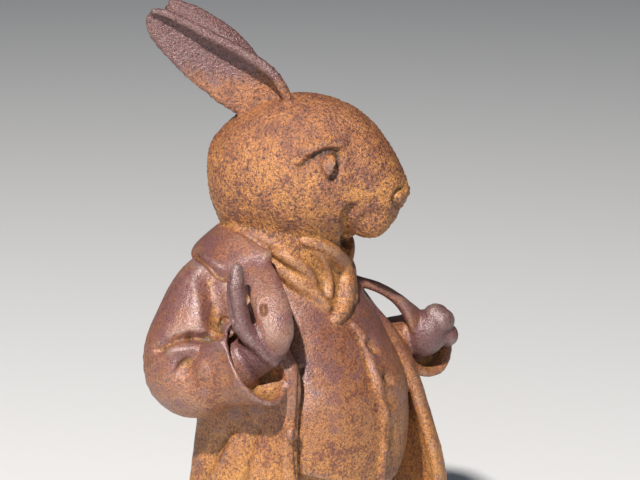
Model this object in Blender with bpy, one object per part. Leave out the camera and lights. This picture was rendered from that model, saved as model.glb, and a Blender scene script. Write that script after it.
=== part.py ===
"""Cast iron garden statue: a rabbit in an open coat, waistcoat and scarf, on a low round base.

Metres, +Z up. The figure faces -Y and its right hand side is at -X. The underside of the base lies at z = 0.
Pose, proportions and carving are given in 500ths of the figure's height, soles to ear tips, with z measured
from the soles.
"""

import math

import bmesh
import bpy
import numpy as np
from mathutils import Vector
from mathutils.bvhtree import BVHTree

# Real sizes, in metres
FIGURE_HEIGHT = 0.500
BASE_WIDTH = 0.196
BASE_LENGTH = 0.206
BASE_THICKNESS = 0.028
BASE_EDGE_ROUND = 0.005
SOLE_SINK = 0.002

# Modelling grain, in metres, and the triangles kept in the finished casting
GRAIN = 0.0020
KEPT_TRIANGLES = 8900

# Narrowest carving the grain can hold, in 500ths
LEAST_REACH = 4.2

# Pose, in degrees
HEAD_TURN = 27.0

# Steps round and along the shapes
RING_SIDES = 28
PATH_STEPS = 6
CAP_STEPS = 4
BASE_SIDES = 64

# Colour of the casting
RUST_COLOUR = (0.235, 0.090, 0.040, 1.0)
RUST_ROUGHNESS = 0.78
RUST_METALLIC = 0.15

UNIT = FIGURE_HEIGHT / 500.0
RAISE = BASE_THICKNESS - SOLE_SINK
LEFT = 1.0
RIGHT = -1.0


# Paths and closed shapes

def smooth_rows(rows, steps=PATH_STEPS):
    """Catmull-Rom curve through rows of numbers of any width."""
    rows = np.array(rows, dtype=float)
    padded = np.vstack([2 * rows[0] - rows[1], rows, 2 * rows[-1] - rows[-2]])
    out = []
    for i in range(len(rows) - 1):
        a, b, c, d = padded[i:i + 4]
        for k in range(steps):
            t = k / steps
            bend = (2 * a - 5 * b + 4 * c - d) * t ** 2 + (3 * b - a - 3 * c + d) * t ** 3
            out.append(b + 0.5 * ((c - a) * t + bend))
    out.append(rows[-1])
    return np.array(out)


def unit_rows(vectors):
    length = np.linalg.norm(vectors, axis=-1, keepdims=True)
    return vectors / np.maximum(length, 1e-9)


def solid_from_rings(rings):
    """Closed mesh from rings of equal count, each end closed by a fan."""
    rings = np.array(rings, dtype=float)
    count, sides = rings.shape[:2]
    points = rings.reshape(-1, 3)
    ends = np.array([rings[0].mean(axis=0), rings[-1].mean(axis=0)])
    points = np.vstack([points, ends])
    faces = []
    for i in range(count - 1):
        for j in range(sides):
            k = (j + 1) % sides
            faces.append((i * sides + j, i * sides + k, (i + 1) * sides + k, (i + 1) * sides + j))
    first, last = count * sides, count * sides + 1
    for j in range(sides):
        k = (j + 1) % sides
        faces.append((first, k, j))
        faces.append((last, (count - 1) * sides + j, (count - 1) * sides + k))
    return points, faces


def limb(rows, facing=None, power=2.0, steps=PATH_STEPS, round_ends=True):
    """Rounded limb or band along a path.

    Each row is x, y, z, half width, half thickness. The thickness lies along facing, one direction for the
    whole path or one for each row.
    """
    rows = np.array(rows, dtype=float)
    if facing is None:
        facing = (0.0, 0.0, 1.0)
    facing = np.broadcast_to(np.array(facing, dtype=float), (len(rows), 3))
    path = smooth_rows(np.hstack([rows, facing]), steps)
    centre, width, thick, face = path[:, :3], path[:, 3], path[:, 4], path[:, 5:8]
    along = unit_rows(np.gradient(centre, axis=0))
    across = unit_rows(np.cross(along, face))
    face = np.cross(across, along)
    angles = np.linspace(0, 2 * math.pi, RING_SIDES, endpoint=False)
    c = np.sign(np.cos(angles)) * np.abs(np.cos(angles)) ** (2 / power)
    s = np.sign(np.sin(angles)) * np.abs(np.sin(angles)) ** (2 / power)
    rings = []

    def ring(i, shift, scale):
        middle = centre[i] + along[i] * shift
        flat = across[i] * (width[i] * scale) * c[:, None] + face[i] * (thick[i] * scale) * s[:, None]
        rings.append(middle + flat)

    caps = [math.pi / 2 * k / CAP_STEPS for k in range(1, CAP_STEPS)]
    if round_ends:
        for a in reversed(caps):
            ring(0, -min(width[0], thick[0]) * math.sin(a), math.cos(a))
    for i in range(len(path)):
        ring(i, 0.0, 1.0)
    if round_ends:
        for a in caps:
            ring(-1, min(width[-1], thick[-1]) * math.sin(a), math.cos(a))
    return solid_from_rings(rings)


def ball(centre, radii, tilt=(0.0, 0.0, 0.0)):
    """Ellipsoid with its own axes turned by tilt, in degrees about X, Y and Z."""
    rings = []
    turn = np.eye(3)
    for axis, angle in enumerate(tilt):
        a = math.radians(angle)
        one = np.eye(3)
        i, j = [(1, 2), (2, 0), (0, 1)][axis]
        one[i, i] = one[j, j] = math.cos(a)
        one[i, j], one[j, i] = -math.sin(a), math.sin(a)
        turn = one @ turn
    for k in range(1, 14):
        v = math.pi * k / 14
        row = []
        for j in range(RING_SIDES):
            u = 2 * math.pi * j / RING_SIDES
            round_point = np.array([math.sin(v) * math.cos(u), math.sin(v) * math.sin(u), math.cos(v)])
            row.append(turn @ (round_point * radii) + np.array(centre))
        rings.append(row)
    return solid_from_rings(rings)


def barrel(rows, power=2.15, steps=PATH_STEPS):
    """Upright rounded body. Each row is z, half width, reach to the front, reach to the back."""
    rings = []
    for z, half, front, back in smooth_rows(rows, steps):
        row = []
        for j in range(RING_SIDES * 2):
            u = math.pi * j / RING_SIDES
            c, s = math.cos(u), math.sin(u)
            x = half * math.copysign(abs(c) ** (2 / power), c)
            y = math.copysign(abs(s) ** (2 / power), s)
            row.append((x, y * (back if y > 0 else front), z))
        rings.append(row)
    return solid_from_rings(rings)


# Head, in its own axes: forward, side (the head's left), up

def head_axes():
    a = math.radians(HEAD_TURN)
    return np.array([[math.sin(a), -math.cos(a), 0.0], [math.cos(a), math.sin(a), 0.0], [0.0, 0.0, 1.0]])


def flipped(shape, axis):
    """Mirror image across the plane square to an axis: 0 for X, 1 for Y."""
    points, faces = shape
    mirror = np.ones(3)
    mirror[axis] = -1.0
    return points * mirror, [face[::-1] for face in faces]


def both_sides(shape):
    """A shape of the head's left and its mirror image on the right."""
    return [shape, flipped(shape, 1)]


SKULL_ROWS = [
    (-58.0, 399, 374, 14, 387),
    (-54.5, 407, 352, 26, 384),
    (-46, 416, 336, 36, 381),
    (-34, 426, 328, 44, 379),
    (-18, 435, 324, 50, 378),
    (0, 439.5, 322, 53, 377),
    (18, 440, 323, 53.5, 377),
    (32, 437.5, 327, 51, 377),
    (45, 433, 332, 45, 377),
    (56, 426.5, 338, 39, 375),
    (66, 417.5, 343, 33, 373),
    (75, 405.5, 348, 27, 371),
    (82, 394.5, 353, 21.5, 370),
    (88, 382, 360, 14, 370),
    (90.5, 376, 366, 8, 371),
]


def skull():
    """Egg from the back of the head to the nose.

    Each row is forward, top, bottom, half width, height of the widest place.
    """
    rings = []
    for forward, top, bottom, half, middle in smooth_rows(SKULL_ROWS, 3):
        row = []
        for j in range(RING_SIDES * 2):
            u = math.pi * j / RING_SIDES
            up = math.sin(u)
            reach = top - middle if up > 0 else middle - bottom
            row.append((forward, half * math.cos(u), middle + up * reach))
        rings.append(row)
    return solid_from_rings(rings)


def neck():
    """Throat under the head. Each row is height, half width, reach to the front, reach to the back."""
    rows = [(300, 40, 37, 40), (318, 43, 42, 47), (335, 45, 45, 50), (352, 44, 40, 46)]
    points, faces = barrel(rows)
    forward, side, up = -points[:, 1], points[:, 0], points[:, 2]
    return np.stack([forward, side, up], axis=1), faces


NEAR_EAR = [
    (-5, 13, 424, 16, 9),
    (-19, 16, 441, 22.5, 13),
    (-40, 19, 455, 23, 14.5),
    (-61, 21, 468.5, 20, 12.5),
    (-80.5, 22, 482.5, 16, 9),
    (-91, 22.5, 490.5, 12, 6.5),
    (-96.5, 22.5, 495, 8, 4),
    (-99.5, 22.5, 497.5, 4, 2),
]
FAR_EAR = [
    (-14, 13, 422, 9, 8),
    (-29, 16, 439, 13, 11),
    (-46, 19, 455, 17.5, 12),
    (-62, 21, 469.5, 17.5, 10.5),
    (-80.5, 22, 483.5, 14, 8),
    (-91, 22.5, 491.5, 10, 5.5),
    (-96.5, 22.5, 496, 6, 3.2),
    (-99, 22.5, 498, 3, 1.8),
]
EAR_WALL = 3.8
RIM_ROLL = 2.2


def ear(rows):
    """Ear of the head's left, swept back from the crown: a hollow leaf, deepest behind its rolled front rim.

    Each row is forward, side, up, half width, depth.
    """
    rows = smooth_rows(rows)
    half_count = RING_SIDES // 2
    turns = [math.pi * (k + 0.5) / half_count for k in range(half_count)]
    rings, front_rim = [], []
    for i, (forward, side, up, half, depth) in enumerate(rows):
        along = unit_rows(rows[min(i + 1, len(rows) - 1)][:3] - rows[max(i - 1, 0)][:3])
        across = unit_rows(np.cross((0.0, 1.0, 0.0), along))
        outward = np.cross(along, across)
        middle = np.array([forward, side, up])
        inner, dish = max(half - EAR_WALL, half * 0.5), max(depth - EAR_WALL, depth * 0.3)
        row = []
        for a in turns:
            row.append(middle + across * (half * math.cos(a)) - outward * (depth * math.sin(a)))
        for a in reversed(turns):
            sunk = dish * math.sin(a) * (0.62 + 0.44 * math.cos(a))
            row.append(middle + across * (inner * math.cos(a)) - outward * sunk)
        rings.append(row)
        roll = RIM_ROLL + depth * 0.14
        front_rim.append((*(middle + across * half * 0.90 + outward * roll * 0.5), roll, roll))
    return [solid_from_rings(rings), limb(front_rim[2:-4:4])]


def head():
    shapes = [skull(), neck()]
    shapes.extend(flipped(shape, 1) for shape in ear(NEAR_EAR))
    shapes.extend(ear(FAR_EAR))
    lip = ball((63, 12.5, 354), (19, 15.5, 17), (0, 14, 0))
    eye = ball((42, 42.5, 396), (8.2, 8.4, 9.2))
    brow = ball((33, 35, 408), (22, 11, 8.5), (0, -8, -26))
    for shape in (lip, eye, brow):
        shapes.extend(both_sides(shape))
    nose = ball((85, 0, 370.5), (7.5, 10.5, 8.5))
    chin = ball((60, 0, 346), (14, 13, 10))
    shapes.extend([nose, chin])
    return [(points @ head_axes(), faces) for points, faces in shapes]


# Body and clothes

HEM_HEIGHT = 184.0
HEM_HALF_WIDTH = 80.0
HEM_SAG = 26.0
HEM_POINT_DROP = 7.0
HEM_POINT_SIDE = 17.0
HEM_POINT_WIDTH = 15.0
HEM_EASE = 40.0


def hem_drop(x):
    """How far the waistcoat's hem hangs below its height at the sides: a point either side of the front."""
    sag = HEM_SAG * (1.0 - (abs(x) / HEM_HALF_WIDTH) ** 1.6)
    return sag + HEM_POINT_DROP * math.exp(-((abs(x) - HEM_POINT_SIDE) / HEM_POINT_WIDTH) ** 2)


def waistcoat():
    """Round waistcoat, its hem dipping to two points in front."""
    shape_points, faces = barrel([
        (HEM_HEIGHT, 79.5, 90, 44),
        (190, 80, 91, 44),
        (206, 80, 92, 44),
        (224, 78.5, 88.5, 44),
        (246, 73, 76.5, 44),
        (266, 65, 65, 43),
        (284, 56, 55, 41),
        (300, 47, 46, 38),
        (314, 40, 40, 34),
    ], power=2.35)
    for point in shape_points:
        if point[1] < 0.0:
            low = max(0.0, 1.0 - (point[2] - HEM_HEIGHT) / HEM_EASE)
            point[2] -= hem_drop(point[0]) * low * min(1.0, -point[1] / HEM_EASE)
    return shape_points, faces


def trousers():
    return barrel([
        (82, 14, 12, 12),
        (86, 32, 27, 25),
        (96, 50, 42, 36),
        (112, 63, 50, 41),
        (132, 70, 58, 43),
        (152, 73, 66, 44),
        (172, 74, 74, 44),
        (190, 72, 78, 42),
        (210, 66, 76, 38),
    ], power=2.35)


def coat_row(z, near_edge, near_side, back, far_side, far_edge):
    """Plan of the coat at one height, from the right front edge round the back to the left front edge."""
    return np.array([
        (near_edge[0], near_edge[1], z),
        (near_side * -0.97, near_edge[1] * 0.40, z),
        (near_side * -0.97, back * 0.32, z),
        (near_side * -0.64, back * 0.80, z),
        (0.0, back, z),
        (far_side * 0.64, back * 0.80, z),
        (far_side * 0.97, back * 0.32, z),
        (far_side * 0.97, far_edge[1] * 0.40, z),
        (far_edge[0], far_edge[1], z),
    ])


COAT_LEVELS = [
    (320, (-46, -22), 46, 44, 42, (29, -12)),
    (306, (-56, -30), 57, 47, 50, (33, -15)),
    (290, (-64, -40), 66, 48, 59, (39, -23)),
    (270, (-68, -54), 70, 47, 68, (50, -38)),
    (250, (-67, -64), 71, 46, 75, (60, -53)),
    (224, (-69, -64), 73, 46, 80, (66, -66)),
    (200, (-71, -64), 75, 46, 82, (68, -75)),
    (178, (-73, -66), 78, 49, 85, (70, -82)),
    (150, (-77, -69), 81, 54, 90, (73, -89)),
    (120, (-81, -69), 85, 59, 95, (77, -89)),
    (92, (-84, -59), 90, 63, 99, (83, -77)),
]
COAT_THICKNESS = 7.0
COAT_FOLDS = 7.0
COAT_FOLD_DEPTH = 2.6
BACK_PLEAT_DEPTH = 3.6
BACK_PLEAT_WIDTH = 0.016


def coat():
    """Open-fronted cloth shell, thick enough to cast, pleated at the back, its folds deepening to the hem."""
    levels = np.array([smooth_rows(coat_row(*level), 8) for level in COAT_LEVELS])
    count = levels.shape[1]
    sheet = smooth_rows(levels.reshape(len(levels), -1), 4).reshape(-1, count, 3)
    down = np.linspace(0.0, 1.0, len(sheet))[:, None]
    round_back = np.linspace(0.0, 1.0, count)[None, :]
    swing = COAT_FOLD_DEPTH * np.clip(down * 1.6 - 0.5, 0.0, 1.0)
    pleat = np.exp(-((round_back - 0.5) / BACK_PLEAT_WIDTH) ** 2) * np.clip(down * 4, 0.0, 1.0)
    wave = swing * np.sin(round_back * 2 * math.pi * COAT_FOLDS) - pleat * BACK_PLEAT_DEPTH
    along = np.gradient(sheet, axis=1)
    outward = unit_rows(np.stack([along[..., 1], -along[..., 0], np.zeros(along.shape[:2])], axis=-1))
    outer = sheet + outward * wave[..., None]
    inner = outer - outward * COAT_THICKNESS
    rings = [np.vstack([outer[i], inner[i][::-1]]) for i in range(len(sheet))]
    return solid_from_rings(rings)


NEAR_BAND_TOP = 270
FAR_BAND_TOP = 290
NEAR_BAND = (5.2, 4.6)
FAR_BAND = (6.2, 5.0)


def coat_bands():
    """Turned front edges of the coat, from under the lapels to the hem."""
    near, far = [], []
    for z, near_edge, _, _, _, far_edge in COAT_LEVELS:
        if z <= NEAR_BAND_TOP:
            near.append((near_edge[0], near_edge[1] + 1, z, *NEAR_BAND))
        if z <= FAR_BAND_TOP:
            far.append((far_edge[0] - 1, far_edge[1] + 1, z, *FAR_BAND))
    return [limb(near, facing=(-0.4, -0.9, 0.0)), limb(far, facing=(0.4, -0.9, 0.0))]


def collar():
    """Turned-down collar round the neck; its two ends run on as the lapels."""
    rows = [
        (-60, -26, 325, 13, 5.2),
        (-63, -8, 329, 16, 5.2),
        (-61, 14, 331, 17, 5.2),
        (-48, 36, 330, 17, 5.2),
        (-24, 50, 329, 16, 5.2),
        (0, 54, 328, 16, 5.2),
        (24, 50, 325, 15, 5.2),
        (40, 36, 318, 13, 5.0),
        (43, 16, 308, 12, 5.0),
        (39, -2, 301, 10, 4.6),
    ]
    facing = [(x * 0.75, y * 0.85, 52.0) for x, y, _, _, _ in rows]
    return limb(rows, facing=facing, power=3.4)


def lapels():
    near = limb([
        (-60, -14, 330, 11, 4.2),
        (-66, -28, 322, 12.5, 4.4),
        (-73, -42, 313, 13, 4.8),
        (-79, -54, 301, 13.5, 6.0),
        (-83, -61, 287, 12.5, 7.5),
        (-83, -61, 277, 9.5, 7.0),
    ], facing=[(-0.6, -0.5, 0.6), (-0.62, -0.6, 0.5), (-0.64, -0.7, 0.3), (-0.64, -0.76, 0.1),
               (-0.6, -0.8, 0.0), (-0.6, -0.8, -0.1)])
    far = limb([
        (38, -8, 304, 9, 4.0),
        (42, -28, 294, 5.6, 3.8),
        (55, -41, 287, 5.0, 4.2),
        (70, -51, 275, 7.0, 4.6),
        (81, -57, 260, 11.5, 5.6),
        (88, -62, 246, 11, 6.0),
    ], facing=[(0.5, -0.2, 0.8), (0.5, -0.2, 0.85), (0.4, -0.3, 0.85), (0.45, -0.5, 0.7), (0.2, -0.8, 0.5),
               (0.0, -0.9, 0.3)])
    return [near, far]


def cuff(root, mouth, lean, half_width, half_height, wall, depth):
    """Flared sleeve end, open at the mouth; lean is the direction the mouth looks."""
    root, mouth = np.array(root, dtype=float), np.array(mouth, dtype=float)
    look = np.array(lean, dtype=float)
    look /= np.linalg.norm(look)
    side = np.cross(look, (0.0, 0.0, 1.0))
    side /= np.linalg.norm(side)
    rise = np.cross(side, look)
    angles = np.linspace(0, 2 * math.pi, RING_SIDES, endpoint=False)

    def ring(middle, wide, high):
        return middle + side * (wide * np.cos(angles))[:, None] + rise * (high * np.sin(angles))[:, None]

    rings = []
    for t in (0.0, 0.35, 0.7, 1.0):
        grow = 0.80 + 0.20 * t ** 1.5
        rings.append(ring(root + (mouth - root) * t, half_width * grow, half_height * grow))
    for t, shrink in ((1.04, 0.35), (1.0, 1.0), (0.8, 1.25)):
        rings.append(ring(root + (mouth - root) * t, half_width - wall * shrink, half_height - wall * shrink))
    back = mouth - (mouth - root) / np.linalg.norm(mouth - root) * depth
    rings.append(ring(back, (half_width - wall) * 0.66, (half_height - wall) * 0.66))
    return solid_from_rings(rings)


def near_sleeve():
    return [
        limb([
            (-44, 10, 297, 27, 25),
            (-64, 12, 300, 31, 31),
            (-81, 14, 281, 33, 32),
            (-97, 13, 254, 33, 34),
            (-99, 3, 244, 29.5, 29.5),
            (-95, -14, 251, 25, 26),
            (-93, -24, 256, 23, 24),
        ]),
        cuff((-94, -14, 252), (-91, -48, 266), (0.02, -0.80, 0.56), 26, 35, 4.6, 17),
    ]


def near_paw():
    """Right paw: palm behind the lapel, thumb upright in front of it and running down the palm as a ridge."""
    palm = [
        (-91, -22, 255, 13, 13),
        (-88, -38, 263, 15, 12),
        (-84, -50, 274, 16, 12),
        (-80, -57, 284, 13, 10),
    ]
    thumb = [
        (-98, -37, 333, 5.0, 4.6),
        (-100, -38, 323, 6.6, 6.0),
        (-101, -40, 308, 7.2, 6.8),
        (-99, -44, 292, 7.2, 7.0),
        (-94, -51, 281, 6.4, 6.5),
        (-89, -57, 272, 5.4, 6.0),
        (-85, -60, 266, 4.0, 4.0),
    ]
    return [limb(rows, facing=(-0.7, -0.7, 0.0)) for rows in (palm, thumb)]


def far_sleeve():
    return [
        limb([
            (36, 10, 282, 24, 22),
            (50, 14, 278, 27, 26),
            (67, 22, 262, 29, 28),
            (83, 22, 240, 30, 29),
            (93, 12, 225, 28, 28),
            (96, -6, 221, 25, 25),
            (95, -22, 226, 22, 22),
            (94, -32, 230, 20, 20),
        ]),
        cuff((95, -26, 228), (95, -61, 236), (-0.10, -0.93, 0.33), 27, 27, 7.0, 9),
    ]


def far_paw():
    """Left paw: a fist closed on the lapel's end."""
    return [
        limb([(93, -40, 236, 14, 14), (91, -58, 241, 16, 16), (91, -66, 249, 15, 14), (93, -70, 259, 11, 11)],
             facing=(-0.3, -0.9, 0.0)),
        ball((94, -76, 257), (10.5, 8.5, 9.5)),
        ball((101, -76, 244), (8, 8.5, 9)),
    ]


def scarf():
    """Cloth wound round the neck, under the folds laid on it."""
    return [
        barrel([(266, 12, 56, 0), (276, 20, 53, 10), (288, 28, 49, 30), (304, 35, 45, 38), (320, 40, 42, 43),
                (332, 42, 39, 45), (340, 40, 36, 43)]),
    ]


def legs():
    shapes = []
    for side in (LEFT, RIGHT):
        shapes.append(limb([
            (32 * side, 0, 150, 36, 36),
            (37 * side, -4, 110, 37, 38),
            (40 * side, -6, 76, 32, 34),
            (41 * side, 0, 46, 28, 30),
            (41 * side, 4, 28, 29, 31),
            (41 * side, 4, 21, 29, 31),
        ], facing=(0.0, 1.0, 0.0), round_ends=False))
        shapes.append(limb([
            (41 * side, 22, 11, 19, 13),
            (42 * side, 2, 13, 22, 16),
            (44 * side, -26, 12, 24, 15),
            (46 * side, -54, 9, 24, 12),
            (47 * side, -68, 7, 19, 9),
        ]))
    return shapes


def button():
    return ball((-76, -69, 212), (5.5, 4.0, 5.5))


# Carving, laid out as seen from in front of the figure's right side

STAND_AZIMUTH = -50.0
STAND_RISE = 15.0
STAND_DISTANCE = 1500.0
STAND_AIM = (15.4, -18.4, 327.9)


def stand_axes():
    a, e = math.radians(STAND_AZIMUTH), math.radians(STAND_RISE)
    back = np.array([math.sin(a) * math.cos(e), -math.cos(a) * math.cos(e), math.sin(e)])
    right = np.array([math.cos(a), math.sin(a), 0.0])
    return right, np.cross(back, right), back


def tree_of(shapes):
    """Search tree over the shapes' surfaces, in 500ths."""
    points, faces, start = [], [], 0
    for shape_points, shape_faces in shapes:
        points.extend(shape_points.tolist())
        faces.extend([i + start for i in face] for face in shape_faces)
        start += len(shape_points)
    return BVHTree.FromPolygons(points, faces)


def met(under, eye, sight):
    """Where a line of sight meets a surface, or the surface's nearest spot to a line that passes it by."""
    hit = under.ray_cast(eye, sight)[0]
    if hit is not None:
        return hit
    passed = [under.find_nearest(eye + sight * (STAND_DISTANCE + deeper)) for deeper in range(-90, 91, 15)]
    return min(passed, key=lambda found: found[3])[0]


def laid(under, rows):
    """Band lying on a surface, its line drawn as seen from the stand.

    Each row is how far right of the aim and above it, half width, half thickness.
    """
    right, up, back = stand_axes()
    eye = np.array(STAND_AIM) + back * STAND_DISTANCE
    spots = []
    for across, above, wide, thick in rows:
        sight = unit_rows(right * across + up * above - back * STAND_DISTANCE)
        spots.append((*met(under, Vector(eye), Vector(sight)), wide, thick))
    return limb(spots, facing=back)


KNOT_FOLDS = [
    [(-12, -1, 3.5, 4), (0, -4, 5, 6), (9, -9, 6.5, 7.5), (15.5, -17, 7.5, 8), (19, -28, 7.5, 8),
     (19.5, -40, 7, 7.5), (17.5, -51, 6, 6), (12, -60, 4.5, 4)],
    [(-5, -8, 2, 2.5), (1, -13, 3, 4.5), (5, -22, 3.4, 5), (7, -32, 3.4, 5), (7.5, -42, 2.6, 4)],
]
NECK_FOLDS = [
    [(-33, -9.5, 3.5, 4), (-23, -14, 5.5, 6), (-14.5, -20, 6, 6.5), (-8, -27, 5, 6), (-4, -36, 3, 4)],
    [(-55.5, -1.5, 2.5, 3), (-48, -3, 4, 4.5), (-40.5, -5.5, 4.5, 4.5), (-34, -9, 3, 3)],
    [(-76, 10, 2.6, 3), (-66, 8, 3, 3.4), (-54, 4.5, 3, 3.6), (-43.5, 1, 3, 3.6), (-34, -3.5, 3, 3.4),
     (-23, -9, 2.6, 2.5)],
    [(-40, -15, 4, 4), (-28, -24, 5.5, 5), (-16, -33, 6, 5.5), (-4.5, -40.5, 5.5, 5), (5, -50, 4, 4)],
]


def waistcoat_edges():
    """Overlapping front edge of the waistcoat."""
    under = tree_of([waistcoat()])
    return [laid(under, rows) for rows in WAISTCOAT_EDGES]


def scarf_folds(under):
    """Folds of the scarf's knot, and those round the neck on both sides."""
    knot = [laid(under, rows) for rows in KNOT_FOLDS]
    neck_side = [laid(under, rows) for rows in NECK_FOLDS]
    return knot + neck_side + [flipped(fold, 0) for fold in neck_side]


def carve(obj, strokes, across_plane=None):
    """Presses in or raises the surface under each stroke.

    A stroke is reach, depth (negative presses in) and points measured right of and above the aim, at its
    distance. Only the surface that can be seen from the stand is worked. With across_plane, the square
    direction of an upright plane through the figure's axis, the strokes go on as their mirror image in it.
    """
    mesh = obj.data
    count = len(mesh.vertices)
    co = np.empty(count * 3)
    normal = np.empty(count * 3)
    mesh.vertices.foreach_get("co", co)
    mesh.vertices.foreach_get("normal", normal)
    co, normal = co.reshape(-1, 3), normal.reshape(-1, 3)
    flip = np.eye(3)
    if across_plane is not None:
        flip -= 2.0 * np.outer(across_plane, across_plane)
    right, up, back = stand_axes()
    place = (co - np.array([0.0, 0.0, RAISE])) / UNIT @ flip
    facing = normal @ flip
    eye = np.array(STAND_AIM) + back * STAND_DISTANCE
    sight = place - eye
    deep = -(sight @ back)
    across = sight @ right / deep * STAND_DISTANCE
    above = sight @ up / deep * STAND_DISTANCE
    towards = -(facing * unit_rows(sight)).sum(axis=1)
    tree = BVHTree.FromPolygons(co.tolist(), [tuple(p.vertices) for p in mesh.polygons])
    eye_real = Vector((eye @ flip * UNIT + np.array([0.0, 0.0, RAISE])).tolist())
    moved = np.zeros(count)
    for drawn_reach, depth, rows in strokes:
        reach = max(drawn_reach, LEAST_REACH)
        line = smooth_rows(rows, 4) if len(rows) > 2 else np.array(rows, dtype=float)
        near = np.full(count, 1e9)
        for a, b in zip(line[:-1], line[1:]):
            d = b - a
            t = np.clip(((across - a[0]) * d[0] + (above - a[1]) * d[1]) / max(d @ d, 1e-9), 0.0, 1.0)
            near = np.minimum(near, np.hypot(across - a[0] - t * d[0], above - a[1] - t * d[1]))
        for i in np.nonzero((near < reach) & (towards > 0.05))[0]:
            spot = Vector(co[i].tolist())
            ray = spot - eye_real
            hit = tree.ray_cast(eye_real, ray.normalized(), ray.length - 2.0 * UNIT)
            if hit[0] is None:
                moved[i] += depth * (1.0 - (near[i] / reach) ** 2) ** 2
    co += normal * (moved * UNIT)[:, None]
    mesh.vertices.foreach_set("co", co.reshape(-1))
    mesh.update()


FACE_STROKES = [
    (3.4, -3.8, [(-15, 55), (-8, 60), (-2, 63.5), (4, 66.5), (10, 67), (14, 65), (15.5, 60), (15, 54),
                 (12.5, 49), (9.5, 46)]),
    (4.0, -2.2, [(14.5, 56), (13, 50)]),
    (12, -1.2, [(24, 62), (26, 50), (31, 38)]),
    (6.0, -5.0, [(19.5, -2), (19, 10), (20, 17), (23.5, 23)]),
    (3.6, -0.8, [(24.5, 25.5), (35, 28), (55.5, 31)]),
    (3.0, -3.6, [(62.5, 39), (59, 36.5), (56.5, 31.5), (57.5, 26), (61, 23)]),
]

LEFT_COAT_STROKES = [
    (6, -4, [(-124, -100), (-115, -94), (-106, -91), (-97, -90)]),
    (9, -3, [(-92, -54), (-84, -70), (-78, -82)]),
    (7, -2.5, [(-110, -142), (-106, -158), (-104, -179)]),
]

COAT_STROKES = [
    (4.5, -4.5, [(-121.5, -83), (-115.5, -78), (-106.5, -74), (-97.5, -73)]),
    (5, -5.5, [(-97.5, -72), (-88.5, -73.5), (-79.5, -72), (-72, -67), (-68.5, -61)]),
    (14, -7.0, [(-83, -30), (-79, -45), (-76, -60)]),
    (6, 2.4, [(-112, -84), (-98, -82), (-87, -81.5), (-76.5, -78)]),
    (9, 2.2, [(-87, -88), (-86, -99)]),
    (8, -1.6, [(-101, -93), (-98, -108)]),
    (8, -2.2, [(-73.5, -88.5), (-70.5, -103.5)]),
    (3.4, -4.0, [(-94, -10.5), (-88, -15), (-81, -20), (-75, -25), (-70, -28.5)]),
    (3.2, -4.5, [(-43, -50), (-42.5, -54)]),
    (8, 3.0, [(-64.5, -151), (-71, -163), (-80, -178)]),
    (9, -3.5, [(-73.5, -151), (-80, -162), (-88, -178)]),
    (8, -3.5, [(-49.5, -142), (-55, -157.5), (-60, -179)]),
    (3.0, -2.4, [(-14, -96), (-15.5, -120), (-16, -136.5), (-18, -155), (-16, -176)]),
]

WAISTCOAT_STROKES = [
    (4.5, -4.6, [(38, -77), (41.5, -82)]),
    (4.0, -4.6, [(50, -101.5), (52.5, -106)]),
    (5, -2.0, [(50, -116), (55, -124)]),
    (5, -2.0, [(53, -139), (52, -150)]),
]

# Waistcoat's overlap and lower rim, drawn like the scarf's folds
WAISTCOAT_EDGES = [
    [(25, -64, 3, 2.6), (31, -72, 4, 3.4), (36, -86, 4.2, 3.6), (40, -98, 4.2, 3.6), (43.5, -110, 4.2, 3.6),
     (47.5, -126, 4.2, 3.6), (48.5, -142, 4.2, 3.6), (47, -156, 4.2, 3.6), (45, -180, 4, 3)],
]


# Fusing

def mesh_object(name, shapes):
    """One mesh object holding the shapes, in metres, raised onto the base."""
    points, faces, start = [], [], 0
    for shape_points, shape_faces in shapes:
        points.append(shape_points)
        faces.extend([[i + start for i in face] for face in shape_faces])
        start += len(shape_points)
    return surface(name, np.vstack(points) * UNIT + np.array([0.0, 0.0, RAISE]), faces)


def surface(name, points, faces):
    """Mesh object from points in metres, its faces turned outwards."""
    mesh = bpy.data.meshes.new(name)
    mesh.from_pydata(points.tolist(), [], faces)
    mesh.update()
    bm = bmesh.new()
    bm.from_mesh(mesh)
    bmesh.ops.recalc_face_normals(bm, faces=bm.faces)
    bm.to_mesh(mesh)
    bm.free()
    obj = bpy.data.objects.new(name, mesh)
    bpy.context.collection.objects.link(obj)
    return obj


def settle(obj):
    """Turns the object's modifiers into its mesh."""
    graph = bpy.context.evaluated_depsgraph_get()
    mesh = bpy.data.meshes.new_from_object(obj.evaluated_get(graph), depsgraph=graph)
    obj.modifiers.clear()
    old = obj.data
    obj.data = mesh
    bpy.data.meshes.remove(old)


def base_solid():
    """Low round base with an eased top edge, in metres."""
    angles = np.linspace(0, 2 * math.pi, BASE_SIDES, endpoint=False)
    edge = [(0.0, 0.0)]
    for k in range(4):
        a = math.pi / 2 * k / 3
        inset, below = BASE_EDGE_ROUND * (1 - math.cos(a)), BASE_EDGE_ROUND * (1 - math.sin(a))
        edge.append((inset, BASE_THICKNESS - below))
    rings = []
    for inset, z in edge:
        x = (BASE_WIDTH / 2 - inset) * np.cos(angles)
        y = (BASE_LENGTH / 2 - inset) * np.sin(angles)
        rings.append(np.stack([x, y, np.full_like(x, z)], axis=1))
    return solid_from_rings(rings)


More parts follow.
